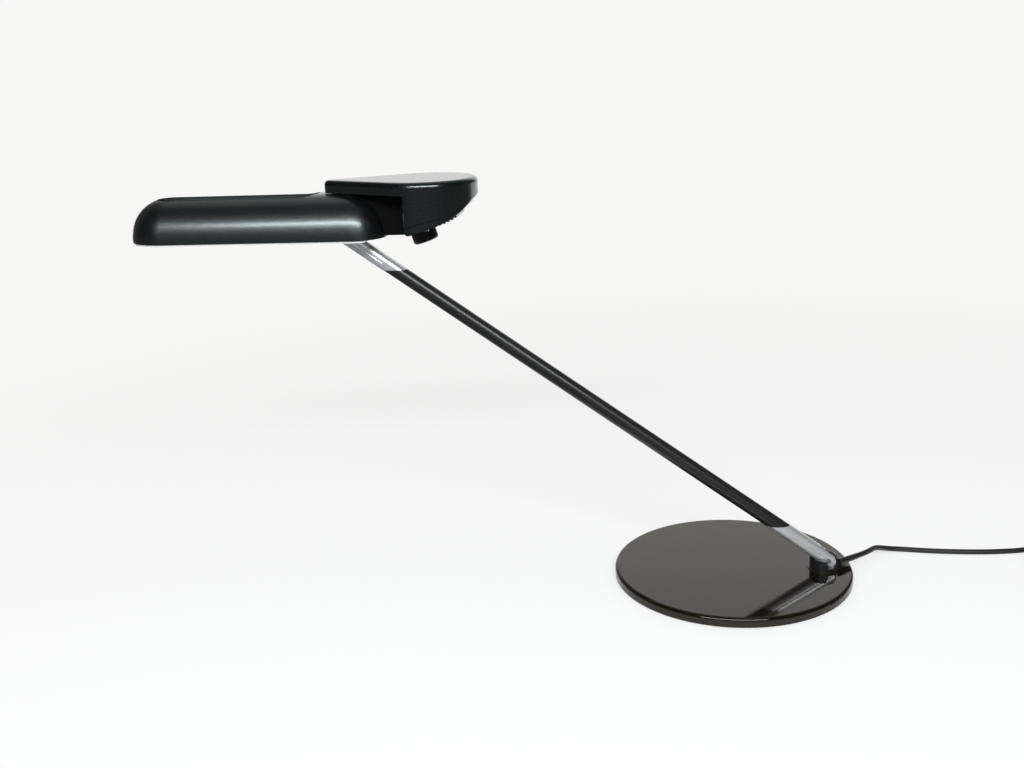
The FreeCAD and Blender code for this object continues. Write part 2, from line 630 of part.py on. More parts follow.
def make_arm():
    """Two forks, the tube between them, the cable inside and the upper hinge pin."""
    make_fork("LowerFork", "lower_fork", "0", LOWER_CUT, 1, LOWER_CUT + " - 10",
              "lower_bar - slot_depth + 16")
    make_fork("UpperFork", "upper_fork", HEAD_PIN, UPPER_CUT, -1, f"{HEAD_PIN} + slot_depth - 2",
              "upper_bar - slot_depth - bar_size / 2 - 4")
    outer = rod("TubeOuter", "tube_dia / 2", "tube_length + 2 * tube_dia", UPPER_CUT + " - tube_dia",
                along="x")
    inner = rod("TubeInner", "tube_dia / 2 - tube_wall", "tube_length + 4 * tube_dia",
                UPPER_CUT + " - 2 * tube_dia", along="x")
    tube = cut("ArmTube", outer, inner, mitre("TubeLowerMitre", LOWER_CUT, False),
               mitre("TubeUpperMitre", UPPER_CUT, True))
    node(tube, "arm_tube", "arm")
    cable = rod("ArmCable", "cable_dia / 2", "lower_bar + tube_length + upper_bar - 2 * slot_depth",
                f"{HEAD_PIN} + slot_depth", along="x")
    node(cable, "arm_cable", "arm")
    node(rod("HeadPin", "pin_rad", "bar_size", HEAD_PIN, f"-{BAR_HALF}", 0, along="y"), "head_pin", "arm")


def rounded_plan(far, near, half, far_round, near_round, level):
    """A closed outline in plan: a rectangle whose far and near corners are rounded."""
    edges = []

    def corner(x, y, radius, start):
        return Part.Arc(Part.Circle(V(x, y, level), V(0, 0, 1), radius), start,
                        start + math.pi / 2).toShape()

    def line(x1, y1, x2, y2):
        return Part.LineSegment(V(x1, y1, level), V(x2, y2, level)).toShape()

    edges.append(line(far + far_round, -half, near - near_round, -half))
    edges.append(corner(near - near_round, -half + near_round, near_round, -math.pi / 2))
    edges.append(line(near, -half + near_round, near, half - near_round))
    edges.append(corner(near - near_round, half - near_round, near_round, 0))
    edges.append(line(near - near_round, half, far + far_round, half))
    edges.append(corner(far + far_round, half - far_round, far_round, math.pi / 2))
    edges.append(line(far, half - far_round, far, -half + far_round))
    edges.append(corner(far + far_round, -half + far_round, far_round, math.pi))
    return Part.Wire(edges)


LEVELS = 8
CREST_ANGLE = 80
FAR_CORNER = 0.98
NEAR_CORNER = 0.7


def rounding(rise, power):
    """How far a rounded side still reaches out at a given rise, from 1 at the rim to 0 at the crest."""
    return (1 - rise ** val(power)) ** (1 / val(power))


def loaf(inset, below=0.0):
    """The shade's rounded form, set in all round and lengthened downwards."""
    rim = val("shade_rim")
    height = val("shade_height") - inset
    wires = []
    if below > 0:
        wires.append((0.0, rim - below))
    for k in range(LEVELS + 1):
        rise = math.sin(math.radians(CREST_ANGLE * k / LEVELS))
        wires.append((rise, rim + height * rise))
    outlines = []
    for rise, level in wires:
        half = (val("shade_width") / 2 - inset) * rounding(rise, "side_power")
        tip_in = (val("tip_round") - inset) * (1 - rounding(rise, "tip_power"))
        heel_in = (val("heel_round") - inset) * (1 - rounding(rise, "heel_power"))
        heel_in += val("heel_draft") * rise
        far = val("shade_tip") + inset + tip_in
        near = val("shade_heel") - inset - heel_in
        outlines.append(rounded_plan(far, near, half, FAR_CORNER * half, NEAR_CORNER * half, level))
    if below > 0:
        skirt = Part.makeLoft(outlines[:2], True, True)
        return skirt.fuse(Part.makeLoft(outlines[1:], True, False))
    return Part.makeLoft(outlines, True, False)


def box(x1, x2, half, z1, z2):
    """A box between two x and two z values, centred on y."""
    return Part.makeBox(x2 - x1, 2 * half, z2 - z1, V(x1, -half, z1))


def post(x, y, radius, z1, z2):
    return Part.makeCylinder(radius, z2 - z1, V(x, y, z1))


PASSAGE_LOW = val("plate_low") - 0.4
PASSAGE_TOP = val("plate_low") + 11
PASSAGE_HALF = val("plate_width") / 2 + 0.6


def make_shade():
    """Shade shell with its top slot, and the white liner with its lip."""
    rim = val("shade_rim")
    wall = val("shade_wall")
    top = rim + val("shade_height")
    shell = loaf(0).cut(loaf(wall, 3))
    half = val("vent_width") / 2
    slot = box(val("vent_start") + half, val("vent_end") - half, half, val("liner_top") + 1, top + 5)
    for x in (val("vent_start") + half, val("vent_end") - half):
        slot = slot.fuse(post(x, 0, half, val("liner_top") + 1, top + 5))
    passage = box(val("shade_heel") - 30, val("shade_heel") + 5, PASSAGE_HALF, PASSAGE_LOW, PASSAGE_TOP)
    shell = shell.cut(slot).cut(passage)
    plate_top = val("plate_low") + val("plate_thick")
    for side in (1, -1):
        boss = post(val("shade_screw_x"), side * val("shade_screw_y"), val("boss_rad"), plate_top,
                    top).common(loaf(wall / 2))
        shell = shell.fuse(boss)
    for side in (1, -1):
        shell = shell.cut(post(val("shade_screw_x"), side * val("shade_screw_y"),
                               val("screw_rad") + val("seat_gap"), plate_top - 1, plate_top + 12))
    node(formed("ShadeShell", shell.removeSplitter()), "shade_shell", "head")

    gap = val("liner_gap")
    thick = val("liner_wall")
    lip_low = rim - val("liner_lip")
    lip_top = rim - val("face_gap")
    end = val("liner_end")
    roof = val("liner_top")
    half = val("shade_width") / 2 - gap
    lip_wire = rounded_plan(val("shade_tip") + gap, val("shade_heel") - gap, half, FAR_CORNER * half,
                            NEAR_CORNER * half, lip_low)
    lip = Part.Face(lip_wire).extrude(V(0, 0, lip_top - lip_low))
    lip = lip.cut(box(val("liner_reach"), 100, 60, lip_low - 1, lip_top + 1))
    lip = lip.cut(box(end - thick, 100, val("fork_bay"), lip_low - 1, lip_top + 1))
    deep = wall + 2.0
    outer = loaf(deep, rim - lip_low).common(box(-300, end, 60, lip_low, roof))
    inner = loaf(deep + thick, rim - lip_low + 2).common(box(-300, end - thick, 60, lip_low - 2,
                                                             roof - thick))
    liner = lip.fuse(outer).cut(inner)
    liner = liner.cut(box(end - 3, end + 1, PASSAGE_HALF, PASSAGE_LOW, plate_top + 2.2))
    node(formed("Liner", liner.removeSplitter()), "reflector", "head")

    screws = []
    for side in (1, -1):
        low = val("plate_low")
        screw = post(val("shade_screw_x"), side * val("shade_screw_y"), val("screw_head_rad"), low - 2,
                     low)
        screws.append(screw.fuse(post(val("shade_screw_x"), side * val("shade_screw_y"), val("screw_rad"),
                                      low, low + 14)))
    node(formed("ShadeScrews", Part.makeCompound(screws)), "shade_screws", "head")


def make_bracket_and_lamp():
    """The steel bracket that carries the head, and the lamp with its holder."""
    plate = block("Plate", "plate_heel - plate_tip", "plate_width", "plate_thick", x="plate_tip",
                  z="plate_low")
    tray = block("Tray", "plate_heel - tray_start", "tray_width", "plate_thick", x="tray_start",
                 z="plate_low")
    ears = block("Ears", "2 * boss_rad + 2", "2 * boss_y + 2 * boss_rad", "plate_thick",
                 x="boss_x - boss_rad - 1", z="plate_low")
    rounding = rod("HeadTongueRound", "tongue_rad", "tongue_thick", 0, "-tongue_thick / 2", 0, along="y")
    stem = block("HeadTongueStem", "2 * tongue_rad", "tongue_thick", "plate_low + plate_thick / 2",
                 x="-tongue_rad")
    holes = [rod("BracketPinHole", "pin_rad + seat_gap", 40, 0, -20, 0, along="y")]
    for i, side in enumerate((1, -1)):
        holes.append(rod(f"CoverScrewHole{i}", "screw_rad + face_gap", "plate_thick + 2", "boss_x",
                         f"{side} * boss_y", "plate_low - 1"))
        holes.append(rod(f"ShadeScrewHole{i}", "screw_rad + face_gap", "plate_thick + 2", "shade_screw_x",
                         f"{side} * shade_screw_y", "plate_low - 1"))
        holes.append(rod(f"BallastScrewHole{i}", "screw_rad + face_gap", "plate_thick + 2",
                         f"ballast_x + {side} * ballast_length / 6", 0, "plate_low - 1"))
    bracket = cut("Bracket", join("BracketBlank", plate, tray, ears, rounding, stem), *holes)
    node(bracket, "head_bracket", "head")
    node(hinge_washers("Head", 0, 0), "head_washers", "head")

    holder = block("Holder", "holder_length", "holder_width", "holder_height", x="plate_tip",
                   z="plate_low - holder_height")
    node(holder, "lampholder", "head")
    base = block("LampBase", "lamp_base_length", "lamp_base_width", "lamp_base_height",
                 x="plate_tip - lamp_base_length", z="lamp_z - lamp_base_height / 2")
    node(base, "lamp_base", "head")
    root = "plate_tip - lamp_base_length - lamp_length"
    tubes = [rod(f"GlassTube{i}", "lamp_tube_rad", "lamp_length", root, f"{side} * lamp_tube_pitch / 2",
                 "lamp_z", along="x")
             for i, side in enumerate((1, -1))]
    bridge = rod("GlassBridge", "lamp_tube_rad / 2", "lamp_tube_pitch", root + " + lamp_tube_rad",
                 "-lamp_tube_pitch / 2", "lamp_z", along="y")
    node(join("Glass", *tubes, bridge), "lamp_tubes", "head")
    leads = [rod(f"Lead{i}", "lead_rad", "ballast_x - ballast_length / 2 - face_gap - plate_tip",
                 "plate_tip", f"{side} * lead_y",
                 "plate_low + plate_thick + lead_rad", along="x") for i, side in enumerate((1, -1))]
    node(group("Leads", *leads), "lamp_leads", "head")
    feed = rod("HeadCable", "inner_cable_dia / 2", "tray_start - tongue_rad - 1", "tongue_rad",
               0, "plate_low + plate_thick + inner_cable_dia / 2", along="x")
    node(feed, "head_cable", "head")


def teardrop(inset, level):
    """The housing's outline in plan: a large round end and a small nose, joined by straight sides."""
    big = val("block_rad") - inset
    small = val("nose_rad") - inset
    x1 = val("nose_x")
    x2 = val("block_x")
    lean = math.asin((big - small) / (x2 - x1))
    up = V(-math.sin(lean), math.cos(lean), 0)
    down = V(-math.sin(lean), -math.cos(lean), 0)
    nose = V(x1, 0, level)
    end = V(x2, 0, level)
    edges = [
        Part.LineSegment(nose + up * small, end + up * big).toShape(),
        Part.Arc(end + up * big, end + V(big, 0, 0), end + down * big).toShape(),
        Part.LineSegment(end + down * big, nose + down * small).toShape(),
        Part.Arc(nose + down * small, nose - V(small, 0, 0), nose + up * small).toShape(),
    ]
    return Part.Wire(edges)


def prism(inset, low, high):
    return Part.Face(teardrop(inset, low)).extrude(V(0, 0, high - low))


def front_prism(inset, front, low, high):
    """The outline behind the front wall, with its two front corners rounded."""
    blank = prism(inset, low, high).common(box(front, 200, 80, low - 1, high + 1))
    upright = [e for e in blank.Edges if abs(e.BoundBox.XMin - front) < 0.01
               and abs(e.BoundBox.XMax - front) < 0.01
               and e.BoundBox.ZLength > high - low - 0.01]
    return blank.makeFillet(val("front_round") + val("front_x") - front, upright)


def rising_line(low, slope, bend_x, end, lift):
    """A line in x and z: a straight slope from the front wall, then an arc up to its end."""
    front = val("front_x")
    tilt = math.radians(slope)
    start = V(front - 5, 0, low - 5 * math.tan(tilt) + lift)
    bend = V(bend_x, 0, low + (bend_x - front) * math.tan(tilt) + lift)
    end = end + V(0, 0, lift)
    square = V(-math.sin(tilt), 0, math.cos(tilt))
    reach = end - bend
    radius = reach.Length ** 2 / (2 * reach.dot(square))
    centre = bend + square * radius
    middle = centre + ((bend + end) * 0.5 - centre).normalize() * radius
    return start, bend, middle, end, centre, radius


def beside_seam(lift, level):
    """Everything between the seam, moved by lift, and a level far above or below it."""
    end = V(val("block_x") + val("block_rad"), 0, val("seam_end_z"))
    points = rising_line(val("seam_z"), val("seam_slope"), val("seam_bend_x"), end, lift)
    start, bend, middle, end = [point - V(0, 80, 0) for point in points[:4]]
    far = V(end.x + 40, -80, end.z + 60)
    edges = [
        Part.LineSegment(start, bend).toShape(),
        Part.Arc(bend, middle, end).toShape(),
        Part.LineSegment(end, far).toShape(),
        Part.LineSegment(far, V(far.x, -80, level)).toShape(),
        Part.LineSegment(V(far.x, -80, level), V(start.x, -80, level)).toShape(),
        Part.LineSegment(V(start.x, -80, level), start).toShape(),
    ]
    return Part.Face(Part.Wire(edges)).extrude(V(0, 160, 0))


def make_block_shell():
    """The upper shell, with a lip over the shade's near end."""
    top = val("block_top")
    wall = val("block_wall")
    front = val("front_x")
    lip = val("lip_low")
    blank = prism(0, -20, top)
    top_edges = [e for e in blank.Edges if abs(e.BoundBox.ZMin - top) < 0.01
                 and abs(e.BoundBox.ZMax - top) < 0.01]
    blank = blank.makeFillet(val("block_edge"), top_edges)
    body = front_prism(0, front, -20, lip + wall)
    body = body.cut(beside_seam(0, -60))
    shell = blank.cut(box(-60, 200, 80, -30, lip)).fuse(body)
    roof = top - wall
    hollow = prism(wall, lip + wall, roof).fuse(front_prism(wall, front + wall, -30, roof))
    shell = shell.cut(hollow)
    shell = shell.cut(box(front - 2, front + wall + 2, PASSAGE_HALF, PASSAGE_LOW, PASSAGE_TOP))
    low = val("plate_low") + val("plate_thick")
    for side in (1, -1):
        shell = shell.fuse(post(val("boss_x"), side * val("boss_y"), val("boss_rad"), low,
                                roof + wall / 2))
    for side in (1, -1):
        shell = shell.cut(post(val("boss_x"), side * val("boss_y"), val("screw_rad") + val("seat_gap"),
                               low - 1, low + 14))
    node(formed("BlockShell", shell.removeSplitter()), "block_shell", "head")


def underside(lift):
    """The points of the cover's underside in x and z."""
    inset = val("cover_inset")
    end = V(val("block_x") + val("block_rad") - inset, 0, val("seam_end_z") - inset)
    return rising_line(val("cover_front_z"), val("cover_slope"), val("cover_bend_x"), end, lift)


def under_solid(lift, depth):
    """Everything below the underside, lifted by a wall's thickness."""
    start, bend, middle, end, _, _ = underside(lift)
    y = V(0, -80, 0)
    start, bend, middle, end = start + y, bend + y, middle + y, end + y
    far = V(end.x + 40, -80, end.z + 60)
    nose = val("cover_round") - lift
    front = val("front_x") + lift
    slope = math.radians(val("cover_slope"))
    reach = nose * math.tan(math.pi / 4 + slope / 2)
    corner = start + V(front - start.x, 0, (front - start.x) * math.tan(slope))
    high = corner + V(0, 0, reach)
    low = corner + V(math.cos(slope), 0, math.sin(slope)) * reach
    centre = high + V(nose, 0, 0)
    crown = centre + (corner - centre).normalize() * nose
    start = V(front - 5, -80, high.z)
    edges = [
        Part.LineSegment(start, high).toShape(),
        Part.Arc(high, crown, low).toShape(),
        Part.LineSegment(low, bend).toShape(),
        Part.Arc(bend, middle, end).toShape(),
        Part.LineSegment(end, far).toShape(),
        Part.LineSegment(far, V(far.x, -80, -depth)).toShape(),
        Part.LineSegment(V(far.x, -80, -depth), V(start.x, -80, -depth)).toShape(),
        Part.LineSegment(V(start.x, -80, -depth), start).toShape(),
    ]
    return Part.Face(Part.Wire(edges)).extrude(V(0, 160, 0))


def make_block_cover():
    """The bottom cover with its ribs, screw bosses and the hole for the switch shaft."""
    front = val("front_x")
    inset = val("cover_inset")
    wall = val("block_wall")
    above = beside_seam(-val("cover_gap"), 160)
    cover = front_prism(inset, front, -40, 60).cut(above).cut(under_solid(0, 60))
    hollow = front_prism(inset + wall, front + wall, -40, 60).cut(under_solid(wall, 60))
    blank = cover
    cover = cover.cut(hollow)
    start, bend, _, _, centre, radius = underside(0)
    slope = math.radians(val("cover_slope"))
    straight = (val("cover_bend_x") - val("rib_start")) / math.cos(slope)
    for k in range(int(val("rib_count"))):
        run = k * val("rib_pitch")
        if run < straight:
            lean = slope
            foot = bend - V(math.cos(slope), 0, math.sin(slope)) * (straight - run)
        else:
            lean = slope + (run - straight) / radius
            foot = centre + V(math.sin(lean), 0, -math.cos(lean)) * radius
        rib = Part.makeBox(val("rib_thick"), val("rib_width"), val("rib_height") + 1,
                           V(-val("rib_thick") / 2, -val("rib_width") / 2, -val("rib_height")))
        rib.Placement = FreeCAD.Placement(foot, FreeCAD.Rotation(V(0, 1, 0), -math.degrees(lean)))
        cover = cover.fuse(rib)
    boss_top = val("plate_low")
    for side in (1, -1):
        boss = post(val("boss_x"), side * val("boss_y"), val("boss_rad"), -20, boss_top).common(blank)
        cover = cover.fuse(boss)
    for side in (1, -1):
        cover = cover.cut(post(val("boss_x"), side * val("boss_y"), val("screw_rad") + val("face_gap"),
                               -20, boss_top + 1))
        cover = cover.cut(post(val("boss_x"), side * val("boss_y"),
                               val("screw_head_rad") + val("face_gap"), -20, val("screw_seat")))
    knob_z = val("cover_front_z") + (val("knob_x") - front) * math.tan(slope)
    hole = Part.makeCylinder(val("shaft_rad") + val("face_gap"), 20, V(0, 0, -10))
    hole.Placement = FreeCAD.Placement(V(val("knob_x"), 0, knob_z),
                                       FreeCAD.Rotation(V(0, 1, 0), -val("cover_slope")))
    cover = cover.cut(hole)
    node(formed("BlockCover", cover.removeSplitter()), "block_cover", "head")

    screws = []
    for side in (1, -1):
        head = post(val("boss_x"), side * val("boss_y"), val("screw_head_rad"), val("screw_seat") - 2,
                    val("screw_seat"))
        shank = post(val("boss_x"), side * val("boss_y"), val("screw_rad"), val("screw_seat"),
                     val("plate_low") + val("plate_thick") + 12)
        screws.append(head.fuse(shank))
    node(formed("CoverScrews", Part.makeCompound(screws)), "cover_screws", "head")


def make_neck():
    """The recessed piece between the shade's near end and the housing."""
    half = val("neck_width") / 2
    wall = val("block_wall")
    low = val("neck_low")
    top = val("neck_top")
    front = val("front_x")
    neck = box(0, front, half, low, top).common(prism(val("neck_inset"), low - 1, top + 1))
    hollow = box(val("shade_heel") - 25, front + 1, half - wall, low + wall, top - wall)
    neck = neck.cut(hollow).cut(loaf(-val("face_gap"), 5))
    slope = math.radians(val("cover_slope"))
    knob_z = val("cover_front_z") + (val("knob_x") - front) * math.tan(slope) + 0.7
    room = Part.makeCylinder(val("knob_rad") + 0.9, 30, V(0, 0, -30))
    room.Placement = FreeCAD.Placement(V(val("knob_x"), 0, knob_z),
                                       FreeCAD.Rotation(V(0, 1, 0), -val("cover_slope")))
    node(formed("Neck", neck.cut(room)), "neck", "head")


def make_ballast():
    """The ballast on its tray, and the terminal block under the housing's roof."""
    top = "plate_low + plate_thick"
    core = block("BallastCore", "ballast_length", "ballast_width", "ballast_height",
                 x="ballast_x - ballast_length / 2", z=top)
    threads = [rod(f"BallastThread{i}", "screw_rad + seat_gap", 14,
                   f"ballast_x + {side} * ballast_length / 6", 0,
                   "plate_low") for i, side in enumerate((1, -1))]
    node(cut("Core", core, *threads), "ballast_core", "head")
    coils = [block(f"BallastCoil{i}", "ballast_length * 0.62", "coil_bulge", "ballast_height * 0.7",
                   x="ballast_x - ballast_length * 0.31", y=low, z=f"{top} + ballast_height * 0.15")
             for i, low in enumerate(("ballast_width / 2", "-ballast_width / 2 - coil_bulge"))]
    node(group("Coils", *coils), "ballast_coil", "head")
    screws = []
    for i, side in enumerate((1, -1)):
        x = f"ballast_x + {side} * ballast_length / 6"
        shank = rod(f"BallastShank{i}", "screw_rad", "plate_thick + 9", x, 0, "plate_low")
        head = rod(f"BallastHead{i}", "screw_head_rad", 2, x, 0, "plate_low - 2")
        screws.append(join(f"BallastScrew{i}", shank, head))
    node(group("BallastScrews", *screws), "ballast_screws", "head")
    terminal = block("Terminal", "terminal_length", "terminal_width", "terminal_height",
                     x="ballast_x + ballast_length / 2 + 2", z="block_top - block_wall - terminal_height")
    node(terminal, "terminal_block", "head")


SWITCH_FACE = "(-block_wall * cos(cover_slope) - seat_gap)"


def make_switch():
    """Rotary switch under the housing; +Z of these pieces points out of the cover's underside."""
    collar = cut("KnobCollar", rod("KnobCollarDisc", "knob_collar_rad", "knob_collar_thick"),
                 rod("KnobCollarBore", "shaft_rad + face_gap", 6, z=-1))
    node(collar, "knob_collar", "knob")
    body = rod("SwitchDisc", "switch_rad", "switch_height", z=SWITCH_FACE + " - switch_height")
    bore = rod("SwitchBore", "shaft_rad + seat_gap", "switch_height",
               z=SWITCH_FACE + " - switch_height / 2")
    node(cut("Switch", body, bore), "switch_body", "knob")
    low = SWITCH_FACE + " - switch_height / 2 + face_gap"
    shaft = rod("Shaft", "shaft_rad", f"knob_collar_thick + knob_height - 2 - ({low})", z=low)
    node(shaft, "switch_shaft", "knob")

    knob = new_body("KnobBody")
    outline = circle_sketch(knob, "KnobOutline", "knob_rad", z="knob_collar_thick + face_gap")
    drum = pad(knob, "KnobPad", outline, "knob_height")
    doc.recompute()
    top = val("knob_collar_thick") + val("face_gap") + val("knob_height")
    rim = knob.newObject("PartDesign::Fillet", "KnobRim")
    rim.Base = (drum, edges_at(drum.Shape, top, val("knob_rad")))
    bind(rim, "Radius", "knob_rim")
    doc.recompute()
    bore = circle_sketch(knob, "KnobBore", "shaft_rad + seat_gap", z="knob_collar_thick + face_gap")
    pocket(knob, "KnobBorePocket", bore, "knob_height - 1.9", upwards=True)
    doc.recompute()
    flute = circle_sketch(knob, "FluteOutline", "flute_rad", x="knob_rad",
                          z="knob_collar_thick + face_gap - 1")
    groove = pocket(knob, "Flute", flute, "knob_height - 0.5", upwards=True)
    doc.recompute()
    ring = knob.newObject("PartDesign::PolarPattern", "Flutes")
    ring.Originals = [groove]
    ring.Axis = (plane_of(knob, "Z_Axis"), [""])
    ring.Angle = 360
    bind(ring, "Occurrences", "knob_flutes")
    knob.Tip = ring
    node(knob, "knob", "knob")


# Cord
def pipe(path, radius):
    """A round tube along a wire."""
    start = path.OrderedEdges[0]
    first = start.valueAt(start.FirstParameter)
    along = start.tangentAt(start.FirstParameter)
    ring = Part.Wire(Part.Circle(first, along, radius).toShape())
    return path.makePipeShell([ring], True, False)


def rounded_route(points):
    """Straight runs joined by tangent arcs, each as large as its two runs allow."""
    edges = []
    last = points[0]
    radii = []
    for before, corner, after in zip(points, points[1:], points[2:]):
        into = (corner - before).normalize()
        out = (after - corner).normalize()
        half_turn = into.getAngle(out) / 2
        cut_back = 0.45 * min((corner - before).Length, (after - corner).Length)
        radius = cut_back / math.tan(half_turn)
        start = corner - into * cut_back
        end = corner + out * cut_back
        inward = (out - into).normalize()
        middle = corner + inward * (radius / math.cos(half_turn) - radius)
        edges.append(Part.LineSegment(last, start).toShape())
        edges.append(Part.Arc(start, middle, end).toShape())
        radii.append(round(radius, 1))
        last = end
    edges.append(Part.LineSegment(last, points[-1]).toShape())
    print("cord arc radii", radii)
    return Part.Wire(edges)


def bow(start, into, end, out):
    """Two tangent arcs from one point and direction to another, and the point where they meet."""
    reach = end - start
    sides = into + out
    a = 2 * (1 - into.dot(out))
    b = reach.dot(sides)
    c = reach.dot(reach)
    if abs(a) < 1e-9:
        leg = c / (2 * b)
    else:
        leg = (-b + math.sqrt(b * b + a * c)) / a
    first = start + into * leg
    second = end - out * leg
    meet = (first + second) * 0.5
    return [single_arc(start, first, meet), single_arc(meet, second, end)]


def single_arc(start, apex, end):
    chord = end - start
    middle = start + chord * 0.5
    rise = apex - middle
    lean = math.atan2(rise.Length, chord.Length / 2)
    height = chord.Length / 2 * math.tan(lean / 2)
    return Part.Arc(start, middle + rise.normalize() * height, end).toShape()


def coil_point(turns, layers_turns, outer, pitch, centre, low):
    """A point of the coil after some turns: inwards on the table, then outwards on top."""
    inward = turns <= layers_turns
    into = min(turns, 2 * layers_turns - turns)
    radius = outer - pitch * into
    climb = min(max((turns - layers_turns + 0.25) / 0.5, 0.0), 1.0)
    angle = math.pi / 2 - 2 * math.pi * turns
    return V(centre.x + radius * math.cos(angle), centre.y + radius * math.sin(angle),
             low + pitch * climb)


def make_cord():
    """The free cord, its coil, tie and plug, all at rest on the table."""
    cord_rad = val("cord_dia") / 2
    pitch = val("coil_pitch")
    lift = val("tie_thick") + 0.1
    low = cord_rad + lift
    centre = V(val("coil_x"), val("coil_y"), 0)
    turns = val("coil_turns")
    outer = val("coil_mean_rad") + pitch * turns / 2
    entry = V(centre.x, centre.y + outer, low)
    meet = entry - V(val("cord_dia"), 0, 0)

    angle = math.radians(val("outlet_angle"))
    reach = val("lug_length") + val("relief_length")
    tip = V(val("swivel_x") + val("outlet_dx") + reach * math.cos(angle),
            val("swivel_y") + val("outlet_dy") + reach * math.sin(angle), val("outlet_z"))
    ahead = tip + V(math.cos(angle), math.sin(angle), 0) * 14
    route = [
        tip,
        ahead,
        V(150.9, 43.8, 11.8),
        V(165.3, 56.1, 4.9),
        V(180.6, 59.8, cord_rad),
        V(204.1, 56.5, cord_rad),
        V(227.4, 54.6, cord_rad),
        V(257.5, 54.4, cord_rad),
        V(281.4, 56.1, cord_rad),
        V(310.2, 61.2, cord_rad),
        V(327, meet.y, low),
        meet,
    ]
    path = rounded_route(route)
    tube = pipe(path, cord_rad)
    print("cord tube length", round(path.Length, 1), "volume ratio",
          round(tube.Volume / (math.pi * cord_rad ** 2 * path.Length), 4))
    node(formed("CordTube", tube), "cord_tube", "base")

    def at(t):
        return coil_point(t, turns, outer, pitch, centre, low)

    def heading(t):
        step = 1e-4
        if t < 0.2:
            ahead_of = at(t + step) - at(t)
        else:
            ahead_of = at(t + step) - at(t - step) if t < 2 * turns - 0.01 else at(t) - at(t - step)
        return ahead_of.normalize()

    stops = [0.0]
    while stops[-1] < 2 * turns - 0.3:
        stops.append(stops[-1] + 0.25)
    stops[-1] = 2 * turns
    directions = [heading(t) for t in stops]
    directions[0] = V(1, 0, 0)
    directions[-1] = V(0, -1, 0)
    edges = [Part.LineSegment(meet, at(0)).toShape()]
    for k in range(len(stops) - 1):
        edges.extend(bow(at(stops[k]), directions[k], at(stops[k + 1]), directions[k + 1]))
    last = at(stops[-1])
    leave = last + directions[-1] * val("cord_dia")
    edges.append(Part.LineSegment(last, leave).toShape())
    path = Part.Wire(edges)
    coil = pipe(path, cord_rad)
    samples = path.discretize(Distance=2.0)
    least = min((p - q).Length for i, p in enumerate(samples) for q in samples[i + 12:]) - val("cord_dia")
    print("coil length", round(path.Length, 1), "volume ratio",
          round(coil.Volume / (math.pi * cord_rad ** 2 * path.Length), 4), "least gap", round(least, 2))
    node(formed("CordCoil", coil), "cord_coil", "base")

    inner = outer - pitch * turns
    clear = val("face_gap")
    wide = val("tie_width")
    bow_in = inner - cord_rad - math.sqrt((inner - cord_rad) ** 2 - wide ** 2 / 4)
    tie_low = centre.y - outer - cord_rad - clear
    tie_span = outer - inner + 2 * cord_rad + 2 * clear + bow_in
    thick = val("tie_thick")
    tall = 2 * cord_rad + pitch + 2 * clear
    hole = Part.makeBox(wide + 2, tie_span, tall, V(centre.x - wide / 2 - 1, tie_low, thick - 0.1))
    band = Part.makeBox(wide, tie_span + 2 * thick, tall + 2 * thick - 0.1,
                        V(centre.x - wide / 2, tie_low - thick, 0))
    node(formed("Tie", band.cut(hole)), "cord_tie", "base")

    length = val("plug_relief_length")
    height = leave.z
    relief = Part.makeCone(cord_rad + 0.15, cord_rad * 2, length, leave, V(0, -1, 0))
    body = Part.makeBox(val("plug_width"), val("plug_length"), 2 * height,
                        V(leave.x - val("plug_width") / 2, leave.y - length - val("plug_length"), 0))
    rounds = [e for e in body.Edges if e.BoundBox.YLength > val("plug_length") - 1]
    body = body.makeFillet(height * 0.6, rounds)
    node(formed("PlugBody", relief.fuse(body).removeSplitter()), "plug_body", "base")
    pins = []
    for side in (1, -1):
        foot = V(leave.x + side * val("plug_pin_spacing") / 2, leave.y - length - val("plug_length"),
                 height)
        pins.append(Part.makeCylinder(val("plug_pin_rad"), val("plug_pin_length"), foot, V(0, -1, 0)))
    node(formed("PlugPins", Part.makeCompound(pins)), "plug_pins", "base")

    feed_rad = val("inner_cable_dia") / 2
    bend = 3.8
    down_x = val("cable_down")
    under = val("pad_thick") + feed_rad + 0.6
    local = [
        Part.Arc(V(down_x + bend, 0, val("outlet_z")), V(down_x + bend * (1 - math.sqrt(0.5)), 0,
                 val("outlet_z") - bend * (1 - math.sqrt(0.5))),
                 V(down_x, 0, val("outlet_z") - bend)).toShape(),
        Part.LineSegment(V(down_x, 0, val("outlet_z") - bend), V(down_x, 0, under + bend)).toShape(),
        Part.Arc(V(down_x, 0, under + bend), V(down_x, bend * (1 - math.sqrt(0.5)),
                                               under + bend * (1 - math.sqrt(0.5))),
                 V(down_x, bend, under)).toShape(),
        Part.LineSegment(V(down_x, bend, under), V(down_x, bend + 5, under)).toShape(),
    ]
    feed = pipe(Part.Wire(local), feed_rad)
    feed.Placement = FreeCAD.Placement(V(val("swivel_x") + val("outlet_dx"),
                                         val("swivel_y") + val("outlet_dy"), 0),
                                       FreeCAD.Rotation(V(0, 0, 1), val("outlet_angle")))
    node(formed("BaseCable", feed), "base_cable", "base")


def check_and_export():
    """Stop unless every object is sound, then write one file for each sub-part."""
    doc.recompute()
    for thing in doc.Objects:
        if "Invalid" in thing.State or "Error" in thing.State:
            raise RuntimeError(f"{thing.Name} ({thing.Label}) failed: {thing.State}")
    os.makedirs("parts", exist_ok=True)
    for thing in nodes:
        shape = thing.Shape
        if shape.isNull() or not shape.isValid() or not shape.Solids:
            raise RuntimeError(f"{thing.Label} has no valid solid")
    for thing in nodes:
        thing.Shape.exportStep(f"parts/{thing.Label}.step")
        print(thing.Label, len(thing.Shape.Solids), round(thing.Shape.Volume))


